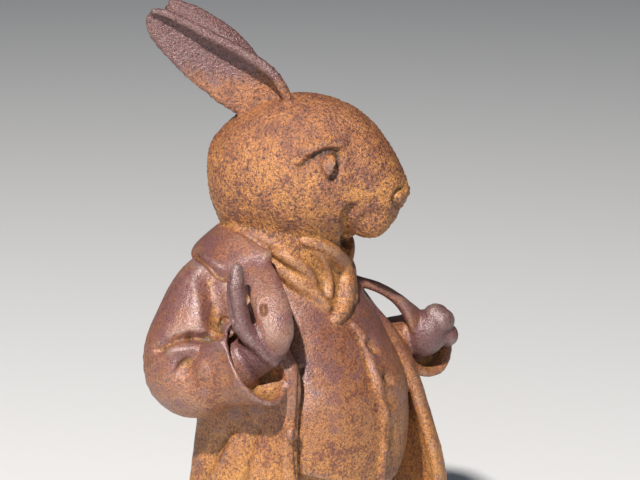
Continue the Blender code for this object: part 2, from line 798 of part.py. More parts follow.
def main():
    for obj in list(bpy.data.objects):
        bpy.data.objects.remove(obj, do_unlink=True)
    shapes = head() + scarf() + [waistcoat()]
    shapes += scarf_folds(tree_of(shapes)) + waistcoat_edges()
    shapes += [trousers(), coat(), collar(), button()] + coat_bands() + lapels() + legs()
    shapes += near_sleeve() + near_paw() + far_sleeve() + far_paw()
    statue = mesh_object("rabbit_statue", shapes)
    fuse = statue.modifiers.new("fuse", "REMESH")
    fuse.mode = "VOXEL"
    fuse.voxel_size = GRAIN
    settle(statue)
    carve(statue, FACE_STROKES + COAT_STROKES + WAISTCOAT_STROKES)
    carve(statue, FACE_STROKES, across_plane=head_axes()[1])
    carve(statue, LEFT_COAT_STROKES, across_plane=np.array([1.0, 0.0, 0.0]))
    soften = statue.modifiers.new("soften", "SMOOTH")
    soften.factor = 0.5
    soften.iterations = 2
    settle(statue)
    count = sum(len(p.vertices) - 2 for p in statue.data.polygons)
    thin = statue.modifiers.new("thin", "DECIMATE")
    thin.ratio = KEPT_TRIANGLES / count
    settle(statue)
    base = surface("base", *base_solid())
    join = statue.modifiers.new("join", "BOOLEAN")
    join.operation = "UNION"
    join.solver = "EXACT"
    join.object = base
    settle(statue)
    bpy.data.objects.remove(base, do_unlink=True)
    for polygon in statue.data.polygons:
        polygon.use_smooth = True
    statue.data.materials.clear()
    statue.data.materials.append(rusted_iron())


def rusted_iron():
    iron = bpy.data.materials.new("rusted_iron")
    iron.use_nodes = True
    shader = iron.node_tree.nodes["Principled BSDF"]
    shader.inputs["Base Color"].default_value = RUST_COLOUR
    shader.inputs["Roughness"].default_value = RUST_ROUGHNESS
    shader.inputs["Metallic"].default_value = RUST_METALLIC
    return iron


main()
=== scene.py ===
"""Rusted cast iron garden statue: a rabbit in an open coat, waistcoat and scarf, seen from its right front.

Metres in the frame, +Z up. The figure faces -Y and its right hand side is at -X. Pose, proportions and
carving are given in 500ths of the figure's height, soles to ear tips, with z from the soles.
"""

import math

import bmesh
import bpy
import numpy as np
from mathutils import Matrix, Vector, noise
from mathutils.bvhtree import BVHTree


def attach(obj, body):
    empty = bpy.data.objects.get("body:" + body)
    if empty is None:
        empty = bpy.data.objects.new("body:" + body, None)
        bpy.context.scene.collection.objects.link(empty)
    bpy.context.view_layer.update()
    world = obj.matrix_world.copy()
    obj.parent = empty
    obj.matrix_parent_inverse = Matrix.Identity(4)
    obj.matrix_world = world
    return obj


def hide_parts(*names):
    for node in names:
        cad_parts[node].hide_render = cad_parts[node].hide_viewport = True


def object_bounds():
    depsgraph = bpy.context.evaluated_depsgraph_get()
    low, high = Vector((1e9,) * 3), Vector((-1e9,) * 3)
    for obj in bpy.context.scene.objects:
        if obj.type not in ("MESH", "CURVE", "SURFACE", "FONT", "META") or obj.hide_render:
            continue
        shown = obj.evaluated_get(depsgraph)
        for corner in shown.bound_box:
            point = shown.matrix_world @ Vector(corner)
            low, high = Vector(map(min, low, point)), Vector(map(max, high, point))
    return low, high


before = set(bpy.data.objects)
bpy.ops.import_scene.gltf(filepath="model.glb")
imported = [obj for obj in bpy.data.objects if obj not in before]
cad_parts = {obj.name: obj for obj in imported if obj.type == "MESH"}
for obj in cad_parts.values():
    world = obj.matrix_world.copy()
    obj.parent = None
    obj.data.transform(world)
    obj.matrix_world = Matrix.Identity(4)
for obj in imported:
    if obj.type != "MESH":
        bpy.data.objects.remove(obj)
cad_low, cad_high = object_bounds()

# Real sizes, in metres
FIGURE_HEIGHT = 0.500
BASE_WIDTH = 0.196
BASE_LENGTH = 0.206
BASE_THICKNESS = 0.028
BASE_EDGE_ROUND = 0.005
SOLE_SINK = 0.002

# Fineness of the surface, in metres, and the triangles kept
GRAIN = 0.00135
KEPT_TRIANGLES = 190000

# Pose, in degrees
HEAD_TURN = 27.0

# Steps round and along the shapes
RING_SIDES = 28
PATH_STEPS = 6
CAP_STEPS = 4
BASE_SIDES = 64

UNIT = FIGURE_HEIGHT / 500.0
RAISE = BASE_THICKNESS - SOLE_SINK
LEFT = 1.0
RIGHT = -1.0

# Paths and closed shapes

def smooth_rows(rows, steps=PATH_STEPS):
    """Catmull-Rom curve through rows of numbers of any width."""
    rows = np.array(rows, dtype=float)
    padded = np.vstack([2 * rows[0] - rows[1], rows, 2 * rows[-1] - rows[-2]])
    out = []
    for i in range(len(rows) - 1):
        a, b, c, d = padded[i:i + 4]
        for k in range(steps):
            t = k / steps
            bend = (2 * a - 5 * b + 4 * c - d) * t ** 2 + (3 * b - a - 3 * c + d) * t ** 3
            out.append(b + 0.5 * ((c - a) * t + bend))
    out.append(rows[-1])
    return np.array(out)


def unit_rows(vectors):
    length = np.linalg.norm(vectors, axis=-1, keepdims=True)
    return vectors / np.maximum(length, 1e-9)


def solid_from_rings(rings):
    """Closed mesh from rings of equal count, each end closed by a fan."""
    rings = np.array(rings, dtype=float)
    count, sides = rings.shape[:2]
    points = rings.reshape(-1, 3)
    ends = np.array([rings[0].mean(axis=0), rings[-1].mean(axis=0)])
    points = np.vstack([points, ends])
    faces = []
    for i in range(count - 1):
        for j in range(sides):
            k = (j + 1) % sides
            faces.append((i * sides + j, i * sides + k, (i + 1) * sides + k, (i + 1) * sides + j))
    first, last = count * sides, count * sides + 1
    for j in range(sides):
        k = (j + 1) % sides
        faces.append((first, k, j))
        faces.append((last, (count - 1) * sides + j, (count - 1) * sides + k))
    return points, faces


def limb(rows, facing=None, power=2.0, steps=PATH_STEPS, round_ends=True):
    """Rounded limb or band along a path.

    Each row is x, y, z, half width, half thickness. The thickness lies along facing, one direction for the
    whole path or one for each row.
    """
    rows = np.array(rows, dtype=float)
    if facing is None:
        facing = (0.0, 0.0, 1.0)
    facing = np.broadcast_to(np.array(facing, dtype=float), (len(rows), 3))
    path = smooth_rows(np.hstack([rows, facing]), steps)
    centre, width, thick, face = path[:, :3], path[:, 3], path[:, 4], path[:, 5:8]
    along = unit_rows(np.gradient(centre, axis=0))
    across = unit_rows(np.cross(along, face))
    face = np.cross(across, along)
    angles = np.linspace(0, 2 * math.pi, RING_SIDES, endpoint=False)
    c = np.sign(np.cos(angles)) * np.abs(np.cos(angles)) ** (2 / power)
    s = np.sign(np.sin(angles)) * np.abs(np.sin(angles)) ** (2 / power)
    rings = []

    def ring(i, shift, scale):
        middle = centre[i] + along[i] * shift
        flat = across[i] * (width[i] * scale) * c[:, None] + face[i] * (thick[i] * scale) * s[:, None]
        rings.append(middle + flat)

    caps = [math.pi / 2 * k / CAP_STEPS for k in range(1, CAP_STEPS)]
    if round_ends:
        for a in reversed(caps):
            ring(0, -min(width[0], thick[0]) * math.sin(a), math.cos(a))
    for i in range(len(path)):
        ring(i, 0.0, 1.0)
    if round_ends:
        for a in caps:
            ring(-1, min(width[-1], thick[-1]) * math.sin(a), math.cos(a))
    return solid_from_rings(rings)


def ball(centre, radii, tilt=(0.0, 0.0, 0.0)):
    """Ellipsoid with its own axes turned by tilt, in degrees about X, Y and Z."""
    rings = []
    turn = np.eye(3)
    for axis, angle in enumerate(tilt):
        a = math.radians(angle)
        one = np.eye(3)
        i, j = [(1, 2), (2, 0), (0, 1)][axis]
        one[i, i] = one[j, j] = math.cos(a)
        one[i, j], one[j, i] = -math.sin(a), math.sin(a)
        turn = one @ turn
    for k in range(1, 14):
        v = math.pi * k / 14
        row = []
        for j in range(RING_SIDES):
            u = 2 * math.pi * j / RING_SIDES
            round_point = np.array([math.sin(v) * math.cos(u), math.sin(v) * math.sin(u), math.cos(v)])
            row.append(turn @ (round_point * radii) + np.array(centre))
        rings.append(row)
    return solid_from_rings(rings)


def barrel(rows, power=2.15, steps=PATH_STEPS):
    """Upright rounded body. Each row is z, half width, reach to the front, reach to the back."""
    rings = []
    for z, half, front, back in smooth_rows(rows, steps):
        row = []
        for j in range(RING_SIDES * 2):
            u = math.pi * j / RING_SIDES
            c, s = math.cos(u), math.sin(u)
            x = half * math.copysign(abs(c) ** (2 / power), c)
            y = math.copysign(abs(s) ** (2 / power), s)
            row.append((x, y * (back if y > 0 else front), z))
        rings.append(row)
    return solid_from_rings(rings)


# Head, in its own axes: forward, side (the head's left), up

def head_axes():
    a = math.radians(HEAD_TURN)
    return np.array([[math.sin(a), -math.cos(a), 0.0], [math.cos(a), math.sin(a), 0.0], [0.0, 0.0, 1.0]])


def flipped(shape, axis):
    """Mirror image across the plane square to an axis: 0 for X, 1 for Y."""
    points, faces = shape
    mirror = np.ones(3)
    mirror[axis] = -1.0
    return points * mirror, [face[::-1] for face in faces]


def both_sides(shape):
    """A shape of the head's left and its mirror image on the right."""
    return [shape, flipped(shape, 1)]


SKULL_ROWS = [
    (-58.0, 399, 374, 14, 387),
    (-54.5, 407, 352, 26, 384),
    (-46, 416, 336, 36, 381),
    (-34, 426, 328, 44, 379),
    (-18, 435, 324, 50, 378),
    (0, 439.5, 322, 53, 377),
    (18, 440, 323, 53.5, 377),
    (32, 437.5, 327, 51, 377),
    (45, 433, 332, 45, 377),
    (56, 426.5, 338, 39, 375),
    (66, 417.5, 343, 33, 373),
    (75, 405.5, 348, 27, 371),
    (82, 394.5, 353, 21.5, 370),
    (88, 382, 360, 14, 370),
    (90.5, 376, 366, 8, 371),
]


def skull():
    """Egg from the back of the head to the nose.

    Each row is forward, top, bottom, half width, height of the widest place.
    """
    rings = []
    for forward, top, bottom, half, middle in smooth_rows(SKULL_ROWS, 3):
        row = []
        for j in range(RING_SIDES * 2):
            u = math.pi * j / RING_SIDES
            up = math.sin(u)
            reach = top - middle if up > 0 else middle - bottom
            row.append((forward, half * math.cos(u), middle + up * reach))
        rings.append(row)
    return solid_from_rings(rings)


def neck():
    """Throat under the head. Each row is height, half width, reach to the front, reach to the back."""
    rows = [(300, 40, 37, 40), (318, 43, 42, 47), (335, 45, 45, 50), (352, 44, 40, 46)]
    points, faces = barrel(rows)
    forward, side, up = -points[:, 1], points[:, 0], points[:, 2]
    return np.stack([forward, side, up], axis=1), faces


NEAR_EAR = [
    (-5, 13, 424, 16, 9),
    (-19, 16, 441, 22.5, 13),
    (-40, 19, 455, 23, 14.5),
    (-61, 21, 468.5, 20, 12.5),
    (-80.5, 22, 482.5, 16, 9),
    (-91, 22.5, 490.5, 12, 6.5),
    (-96.5, 22.5, 495, 8, 4),
    (-99.5, 22.5, 497.5, 4, 2),
]
FAR_EAR = [
    (-14, 13, 422, 9, 8),
    (-29, 16, 439, 13, 11),
    (-46, 19, 455, 17.5, 12),
    (-62, 21, 469.5, 17.5, 10.5),
    (-80.5, 22, 483.5, 14, 8),
    (-91, 22.5, 491.5, 10, 5.5),
    (-96.5, 22.5, 496, 6, 3.2),
    (-99, 22.5, 498, 3, 1.8),
]
EAR_WALL = 3.8
RIM_ROLL = 2.2


def ear(rows):
    """Ear of the head's left, swept back from the crown: a hollow leaf, deepest behind its rolled front rim.

    Each row is forward, side, up, half width, depth.
    """
    rows = smooth_rows(rows)
    half_count = RING_SIDES // 2
    turns = [math.pi * (k + 0.5) / half_count for k in range(half_count)]
    rings, front_rim = [], []
    for i, (forward, side, up, half, depth) in enumerate(rows):
        along = unit_rows(rows[min(i + 1, len(rows) - 1)][:3] - rows[max(i - 1, 0)][:3])
        across = unit_rows(np.cross((0.0, 1.0, 0.0), along))
        outward = np.cross(along, across)
        middle = np.array([forward, side, up])
        inner, dish = max(half - EAR_WALL, half * 0.5), max(depth - EAR_WALL, depth * 0.3)
        row = []
        for a in turns:
            row.append(middle + across * (half * math.cos(a)) - outward * (depth * math.sin(a)))
        for a in reversed(turns):
            sunk = dish * math.sin(a) * (0.62 + 0.44 * math.cos(a))
            row.append(middle + across * (inner * math.cos(a)) - outward * sunk)
        rings.append(row)
        roll = RIM_ROLL + depth * 0.14
        front_rim.append((*(middle + across * half * 0.90 + outward * roll * 0.5), roll, roll))
    return [solid_from_rings(rings), limb(front_rim[2:-4:4])]


def head():
    shapes = [skull(), neck()]
    shapes.extend(flipped(shape, 1) for shape in ear(NEAR_EAR))
    shapes.extend(ear(FAR_EAR))
    lip = ball((63, 12.5, 354), (19, 15.5, 17), (0, 14, 0))
    eye = ball((42, 42.5, 396), (8.2, 8.4, 9.2))
    brow = ball((33, 35, 408), (22, 11, 8.5), (0, -8, -26))
    for shape in (lip, eye, brow):
        shapes.extend(both_sides(shape))
    nose = ball((85, 0, 370.5), (7.5, 10.5, 8.5))
    chin = ball((60, 0, 346), (14, 13, 10))
    shapes.extend([nose, chin])
    return [(points @ head_axes(), faces) for points, faces in shapes]


# Body and clothes

HEM_HEIGHT = 184.0
HEM_HALF_WIDTH = 80.0
HEM_SAG = 26.0
HEM_POINT_DROP = 7.0
HEM_POINT_SIDE = 17.0
HEM_POINT_WIDTH = 15.0
HEM_EASE = 40.0


def hem_drop(x):
    """How far the waistcoat's hem hangs below its height at the sides: a point either side of the front."""
    sag = HEM_SAG * (1.0 - (abs(x) / HEM_HALF_WIDTH) ** 1.6)
    return sag + HEM_POINT_DROP * math.exp(-((abs(x) - HEM_POINT_SIDE) / HEM_POINT_WIDTH) ** 2)


def waistcoat():
    """Round waistcoat, its hem dipping to two points in front."""
    shape_points, faces = barrel([
        (HEM_HEIGHT, 79.5, 90, 44),
        (190, 80, 91, 44),
        (206, 80, 92, 44),
        (224, 78.5, 88.5, 44),
        (246, 73, 76.5, 44),
        (266, 65, 65, 43),
        (284, 56, 55, 41),
        (300, 47, 46, 38),
        (314, 40, 40, 34),
    ], power=2.35)
    for point in shape_points:
        if point[1] < 0.0:
            low = max(0.0, 1.0 - (point[2] - HEM_HEIGHT) / HEM_EASE)
            point[2] -= hem_drop(point[0]) * low * min(1.0, -point[1] / HEM_EASE)
    return shape_points, faces


def trousers():
    return barrel([
        (82, 14, 12, 12),
        (86, 32, 27, 25),
        (96, 50, 42, 36),
        (112, 63, 50, 41),
        (132, 70, 58, 43),
        (152, 73, 66, 44),
        (172, 74, 74, 44),
        (190, 72, 78, 42),
        (210, 66, 76, 38),
    ], power=2.35)


def coat_row(z, near_edge, near_side, back, far_side, far_edge):
    """Plan of the coat at one height, from the right front edge round the back to the left front edge."""
    return np.array([
        (near_edge[0], near_edge[1], z),
        (near_side * -0.97, near_edge[1] * 0.40, z),
        (near_side * -0.97, back * 0.32, z),
        (near_side * -0.64, back * 0.80, z),
        (0.0, back, z),
        (far_side * 0.64, back * 0.80, z),
        (far_side * 0.97, back * 0.32, z),
        (far_side * 0.97, far_edge[1] * 0.40, z),
        (far_edge[0], far_edge[1], z),
    ])


COAT_LEVELS = [
    (320, (-46, -22), 46, 44, 42, (29, -12)),
    (306, (-56, -30), 57, 47, 50, (33, -15)),
    (290, (-64, -40), 66, 48, 59, (39, -23)),
    (270, (-68, -54), 70, 47, 68, (50, -38)),
    (250, (-67, -64), 71, 46, 75, (60, -53)),
    (224, (-69, -64), 73, 46, 80, (66, -66)),
    (200, (-71, -64), 75, 46, 82, (68, -75)),
    (178, (-73, -66), 78, 49, 85, (70, -82)),
    (150, (-77, -69), 81, 54, 90, (73, -89)),
    (120, (-81, -69), 85, 59, 95, (77, -89)),
    (92, (-84, -59), 90, 63, 99, (83, -77)),
]
COAT_THICKNESS = 7.0
COAT_FOLDS = 7.0
COAT_FOLD_DEPTH = 2.6
BACK_PLEAT_DEPTH = 3.6
BACK_PLEAT_WIDTH = 0.016


def coat():
    """Open-fronted cloth shell, thick enough to cast, pleated at the back, its folds deepening to the hem."""
    levels = np.array([smooth_rows(coat_row(*level), 8) for level in COAT_LEVELS])
    count = levels.shape[1]
    sheet = smooth_rows(levels.reshape(len(levels), -1), 4).reshape(-1, count, 3)
    down = np.linspace(0.0, 1.0, len(sheet))[:, None]
    round_back = np.linspace(0.0, 1.0, count)[None, :]
    swing = COAT_FOLD_DEPTH * np.clip(down * 1.6 - 0.5, 0.0, 1.0)
    pleat = np.exp(-((round_back - 0.5) / BACK_PLEAT_WIDTH) ** 2) * np.clip(down * 4, 0.0, 1.0)
    wave = swing * np.sin(round_back * 2 * math.pi * COAT_FOLDS) - pleat * BACK_PLEAT_DEPTH
    along = np.gradient(sheet, axis=1)
    outward = unit_rows(np.stack([along[..., 1], -along[..., 0], np.zeros(along.shape[:2])], axis=-1))
    outer = sheet + outward * wave[..., None]
    inner = outer - outward * COAT_THICKNESS
    rings = [np.vstack([outer[i], inner[i][::-1]]) for i in range(len(sheet))]
    return solid_from_rings(rings)


NEAR_BAND_TOP = 270
FAR_BAND_TOP = 290
NEAR_BAND = (5.2, 4.6)
FAR_BAND = (6.2, 5.0)


def coat_bands():
    """Turned front edges of the coat, from under the lapels to the hem."""
    near, far = [], []
    for z, near_edge, _, _, _, far_edge in COAT_LEVELS:
        if z <= NEAR_BAND_TOP:
            near.append((near_edge[0], near_edge[1] + 1, z, *NEAR_BAND))
        if z <= FAR_BAND_TOP:
            far.append((far_edge[0] - 1, far_edge[1] + 1, z, *FAR_BAND))
    return [limb(near, facing=(-0.4, -0.9, 0.0)), limb(far, facing=(0.4, -0.9, 0.0))]


def collar():
    """Turned-down collar round the neck; its two ends run on as the lapels."""
    rows = [
        (-60, -26, 325, 13, 5.2),
        (-63, -8, 329, 16, 5.2),
        (-61, 14, 331, 17, 5.2),
        (-48, 36, 330, 17, 5.2),
        (-24, 50, 329, 16, 5.2),
        (0, 54, 328, 16, 5.2),
        (24, 50, 325, 15, 5.2),
        (40, 36, 318, 13, 5.0),
        (43, 16, 308, 12, 5.0),
        (39, -2, 301, 10, 4.6),
    ]
    facing = [(x * 0.75, y * 0.85, 52.0) for x, y, _, _, _ in rows]
    return limb(rows, facing=facing, power=3.4)


def lapels():
    near = limb([
        (-60, -14, 330, 11, 4.2),
        (-66, -28, 322, 12.5, 4.4),
        (-73, -42, 313, 13, 4.8),
        (-79, -54, 301, 13.5, 6.0),
        (-83, -61, 287, 12.5, 7.5),
        (-83, -61, 277, 9.5, 7.0),
    ], facing=[(-0.6, -0.5, 0.6), (-0.62, -0.6, 0.5), (-0.64, -0.7, 0.3), (-0.64, -0.76, 0.1),
               (-0.6, -0.8, 0.0), (-0.6, -0.8, -0.1)])
    far = limb([
        (38, -8, 304, 9, 4.0),
        (42, -28, 294, 5.6, 3.8),
        (55, -41, 287, 5.0, 4.2),
        (70, -51, 275, 7.0, 4.6),
        (81, -57, 260, 11.5, 5.6),
        (88, -62, 246, 11, 6.0),
    ], facing=[(0.5, -0.2, 0.8), (0.5, -0.2, 0.85), (0.4, -0.3, 0.85), (0.45, -0.5, 0.7), (0.2, -0.8, 0.5),
               (0.0, -0.9, 0.3)])
    return [near, far]


def cuff(root, mouth, lean, half_width, half_height, wall, depth):
    """Flared sleeve end, open at the mouth; lean is the direction the mouth looks."""
    root, mouth = np.array(root, dtype=float), np.array(mouth, dtype=float)
    look = np.array(lean, dtype=float)
    look /= np.linalg.norm(look)
    side = np.cross(look, (0.0, 0.0, 1.0))
    side /= np.linalg.norm(side)
    rise = np.cross(side, look)
    angles = np.linspace(0, 2 * math.pi, RING_SIDES, endpoint=False)

    def ring(middle, wide, high):
        return middle + side * (wide * np.cos(angles))[:, None] + rise * (high * np.sin(angles))[:, None]

    rings = []
    for t in (0.0, 0.35, 0.7, 1.0):
        grow = 0.80 + 0.20 * t ** 1.5
        rings.append(ring(root + (mouth - root) * t, half_width * grow, half_height * grow))
    for t, shrink in ((1.04, 0.35), (1.0, 1.0), (0.8, 1.25)):
        rings.append(ring(root + (mouth - root) * t, half_width - wall * shrink, half_height - wall * shrink))
    back = mouth - (mouth - root) / np.linalg.norm(mouth - root) * depth
    rings.append(ring(back, (half_width - wall) * 0.66, (half_height - wall) * 0.66))
    return solid_from_rings(rings)


def near_sleeve():
    return [
        limb([
            (-44, 10, 297, 27, 25),
            (-64, 12, 300, 31, 31),
            (-81, 14, 281, 33, 32),
            (-97, 13, 254, 33, 34),
            (-99, 3, 244, 29.5, 29.5),
            (-95, -14, 251, 25, 26),
            (-93, -24, 256, 23, 24),
        ]),
        cuff((-94, -14, 252), (-91, -48, 266), (0.02, -0.80, 0.56), 26, 35, 4.6, 17),
    ]


def near_paw():
    """Right paw: palm behind the lapel, thumb upright in front of it and running down the palm as a ridge."""
    palm = [
        (-91, -22, 255, 13, 13),
        (-88, -38, 263, 15, 12),
        (-84, -50, 274, 16, 12),
        (-80, -57, 284, 13, 10),
    ]
    thumb = [
        (-98, -37, 333, 5.0, 4.6),
        (-100, -38, 323, 6.6, 6.0),
        (-101, -40, 308, 7.2, 6.8),
        (-99, -44, 292, 7.2, 7.0),
        (-94, -51, 281, 6.4, 6.5),
        (-89, -57, 272, 5.4, 6.0),
        (-85, -60, 266, 4.0, 4.0),
    ]
    return [limb(rows, facing=(-0.7, -0.7, 0.0)) for rows in (palm, thumb)]


def far_sleeve():
    return [
        limb([
            (36, 10, 282, 24, 22),
            (50, 14, 278, 27, 26),
            (67, 22, 262, 29, 28),
            (83, 22, 240, 30, 29),
            (93, 12, 225, 28, 28),
            (96, -6, 221, 25, 25),
            (95, -22, 226, 22, 22),
            (94, -32, 230, 20, 20),
        ]),
        cuff((95, -26, 228), (95, -61, 236), (-0.10, -0.93, 0.33), 27, 27, 7.0, 9),
    ]


def far_paw():
    """Left paw: a fist closed on the lapel's end."""
    return [
        limb([(93, -40, 236, 14, 14), (91, -58, 241, 16, 16), (91, -66, 249, 15, 14), (93, -70, 259, 11, 11)],
             facing=(-0.3, -0.9, 0.0)),
        ball((94, -76, 257), (10.5, 8.5, 9.5)),
        ball((101, -76, 244), (8, 8.5, 9)),
    ]


def scarf():
    """Cloth wound round the neck, under the folds laid on it."""
    return [
        barrel([(266, 12, 56, 0), (276, 20, 53, 10), (288, 28, 49, 30), (304, 35, 45, 38), (320, 40, 42, 43),
                (332, 42, 39, 45), (340, 40, 36, 43)]),
    ]


def legs():
    shapes = []
    for side in (LEFT, RIGHT):
        shapes.append(limb([
            (32 * side, 0, 150, 36, 36),
            (37 * side, -4, 110, 37, 38),
            (40 * side, -6, 76, 32, 34),
            (41 * side, 0, 46, 28, 30),
            (41 * side, 4, 28, 29, 31),
            (41 * side, 4, 21, 29, 31),
        ], facing=(0.0, 1.0, 0.0), round_ends=False))
        shapes.append(limb([
            (41 * side, 22, 11, 19, 13),
            (42 * side, 2, 13, 22, 16),
            (44 * side, -26, 12, 24, 15),
            (46 * side, -54, 9, 24, 12),
            (47 * side, -68, 7, 19, 9),
        ]))
    return shapes


def button():
    return ball((-76, -69, 212), (5.5, 4.0, 5.5))


# Carving, laid out as seen from in front of the figure's right side

STAND_AZIMUTH = -50.0
STAND_RISE = 15.0
STAND_DISTANCE = 1500.0
STAND_AIM = (15.4, -18.4, 327.9)


def stand_axes():
    a, e = math.radians(STAND_AZIMUTH), math.radians(STAND_RISE)
    back = np.array([math.sin(a) * math.cos(e), -math.cos(a) * math.cos(e), math.sin(e)])
    right = np.array([math.cos(a), math.sin(a), 0.0])
    return right, np.cross(back, right), back


def tree_of(shapes):
    """Search tree over the shapes' surfaces, in 500ths."""
    points, faces, start = [], [], 0
    for shape_points, shape_faces in shapes:
        points.extend(shape_points.tolist())
        faces.extend([i + start for i in face] for face in shape_faces)
        start += len(shape_points)
    return BVHTree.FromPolygons(points, faces)


def met(under, eye, sight):
    """Where a line of sight meets a surface, or the surface's nearest spot to a line that passes it by."""
    hit = under.ray_cast(eye, sight)[0]
    if hit is not None:
        return hit
    passed = [under.find_nearest(eye + sight * (STAND_DISTANCE + deeper)) for deeper in range(-90, 91, 15)]
    return min(passed, key=lambda found: found[3])[0]


def laid(under, rows):
    """Band lying on a surface, its line drawn as seen from the stand.

    Each row is how far right of the aim and above it, half width, half thickness.
    """
    right, up, back = stand_axes()
    eye = np.array(STAND_AIM) + back * STAND_DISTANCE
    spots = []
    for across, above, wide, thick in rows:
        sight = unit_rows(right * across + up * above - back * STAND_DISTANCE)
        spots.append((*met(under, Vector(eye), Vector(sight)), wide, thick))
    return limb(spots, facing=back)


KNOT_FOLDS = [
    [(-12, -1, 3.5, 4), (0, -4, 5, 6), (9, -9, 6.5, 7.5), (15.5, -17, 7.5, 8), (19, -28, 7.5, 8),
     (19.5, -40, 7, 7.5), (17.5, -51, 6, 6), (12, -60, 4.5, 4)],
    [(-5, -8, 2, 2.5), (1, -13, 3, 4.5), (5, -22, 3.4, 5), (7, -32, 3.4, 5), (7.5, -42, 2.6, 4)],
]
NECK_FOLDS = [
    [(-33, -9.5, 3.5, 4), (-23, -14, 5.5, 6), (-14.5, -20, 6, 6.5), (-8, -27, 5, 6), (-4, -36, 3, 4)],
    [(-55.5, -1.5, 2.5, 3), (-48, -3, 4, 4.5), (-40.5, -5.5, 4.5, 4.5), (-34, -9, 3, 3)],
    [(-76, 10, 2.6, 3), (-66, 8, 3, 3.4), (-54, 4.5, 3, 3.6), (-43.5, 1, 3, 3.6), (-34, -3.5, 3, 3.4),
     (-23, -9, 2.6, 2.5)],
    [(-40, -15, 4, 4), (-28, -24, 5.5, 5), (-16, -33, 6, 5.5), (-4.5, -40.5, 5.5, 5), (5, -50, 4, 4)],
]


def waistcoat_edges():
    """Overlapping front edge of the waistcoat."""
    under = tree_of([waistcoat()])
    return [laid(under, rows) for rows in WAISTCOAT_EDGES]


def scarf_folds(under):
    """Folds of the scarf's knot, and those round the neck on both sides."""
    knot = [laid(under, rows) for rows in KNOT_FOLDS]
    neck_side = [laid(under, rows) for rows in NECK_FOLDS]
    return knot + neck_side + [flipped(fold, 0) for fold in neck_side]


def carve(obj, strokes, across_plane=None):
    """Presses in or raises the surface under each stroke.

    A stroke is reach, depth (negative presses in) and points measured right of and above the aim, at its
    distance. Only the surface that can be seen from the stand is worked. With across_plane, the square
    direction of an upright plane through the figure's axis, the strokes go on as their mirror image in it.
    """
    mesh = obj.data
    count = len(mesh.vertices)
    co = np.empty(count * 3)
    normal = np.empty(count * 3)
    mesh.vertices.foreach_get("co", co)
    mesh.vertices.foreach_get("normal", normal)
    co, normal = co.reshape(-1, 3), normal.reshape(-1, 3)
    flip = np.eye(3)
    if across_plane is not None:
        flip -= 2.0 * np.outer(across_plane, across_plane)
    right, up, back = stand_axes()
    place = (co - np.array([0.0, 0.0, RAISE])) / UNIT @ flip
    facing = normal @ flip
    eye = np.array(STAND_AIM) + back * STAND_DISTANCE
    sight = place - eye
    deep = -(sight @ back)
    across = sight @ right / deep * STAND_DISTANCE
    above = sight @ up / deep * STAND_DISTANCE
    towards = -(facing * unit_rows(sight)).sum(axis=1)
    tree = BVHTree.FromPolygons(co.tolist(), [tuple(p.vertices) for p in mesh.polygons])
    eye_real = Vector((eye @ flip * UNIT + np.array([0.0, 0.0, RAISE])).tolist())
    moved = np.zeros(count)
    for reach, depth, rows in strokes:
        line = smooth_rows(rows, 4) if len(rows) > 2 else np.array(rows, dtype=float)
        near = np.full(count, 1e9)
        for a, b in zip(line[:-1], line[1:]):
            d = b - a
            t = np.clip(((across - a[0]) * d[0] + (above - a[1]) * d[1]) / max(d @ d, 1e-9), 0.0, 1.0)
            near = np.minimum(near, np.hypot(across - a[0] - t * d[0], above - a[1] - t * d[1]))
        for i in np.nonzero((near < reach) & (towards > 0.05))[0]:
            spot = Vector(co[i].tolist())
            ray = spot - eye_real
            hit = tree.ray_cast(eye_real, ray.normalized(), ray.length - 2.0 * UNIT)
            if hit[0] is None:
                moved[i] += depth * (1.0 - (near[i] / reach) ** 2) ** 2
    co += normal * (moved * UNIT)[:, None]
    mesh.vertices.foreach_set("co", co.reshape(-1))
    mesh.update()


FACE_STROKES = [
    (3.4, -3.8, [(-15, 55), (-8, 60), (-2, 63.5), (4, 66.5), (10, 67), (14, 65), (15.5, 60), (15, 54),
                 (12.5, 49), (9.5, 46)]),
    (4.0, -2.2, [(14.5, 56), (13, 50)]),
    (12, -1.2, [(24, 62), (26, 50), (31, 38)]),
    (6.0, -5.0, [(19.5, -2), (19, 10), (20, 17), (23.5, 23)]),
    (3.6, -0.8, [(24.5, 25.5), (35, 28), (55.5, 31)]),
    (3.0, -3.6, [(62.5, 39), (59, 36.5), (56.5, 31.5), (57.5, 26), (61, 23)]),
]

LEFT_COAT_STROKES = [
    (6, -4, [(-124, -100), (-115, -94), (-106, -91), (-97, -90)]),
    (9, -3, [(-92, -54), (-84, -70), (-78, -82)]),
    (7, -2.5, [(-110, -142), (-106, -158), (-104, -179)]),
]

COAT_STROKES = [
    (4.5, -4.5, [(-121.5, -83), (-115.5, -78), (-106.5, -74), (-97.5, -73)]),
    (5, -5.5, [(-97.5, -72), (-88.5, -73.5), (-79.5, -72), (-72, -67), (-68.5, -61)]),
    (14, -7.0, [(-83, -30), (-79, -45), (-76, -60)]),
    (6, 2.4, [(-112, -84), (-98, -82), (-87, -81.5), (-76.5, -78)]),
    (9, 2.2, [(-87, -88), (-86, -99)]),
    (8, -1.6, [(-101, -93), (-98, -108)]),
    (8, -2.2, [(-73.5, -88.5), (-70.5, -103.5)]),
    (3.4, -4.0, [(-94, -10.5), (-88, -15), (-81, -20), (-75, -25), (-70, -28.5)]),
    (3.2, -4.5, [(-43, -50), (-42.5, -54)]),
    (8, 3.0, [(-64.5, -151), (-71, -163), (-80, -178)]),
    (9, -3.5, [(-73.5, -151), (-80, -162), (-88, -178)]),
    (8, -3.5, [(-49.5, -142), (-55, -157.5), (-60, -179)]),
    (3.0, -2.4, [(-14, -96), (-15.5, -120), (-16, -136.5), (-18, -155), (-16, -176)]),
]

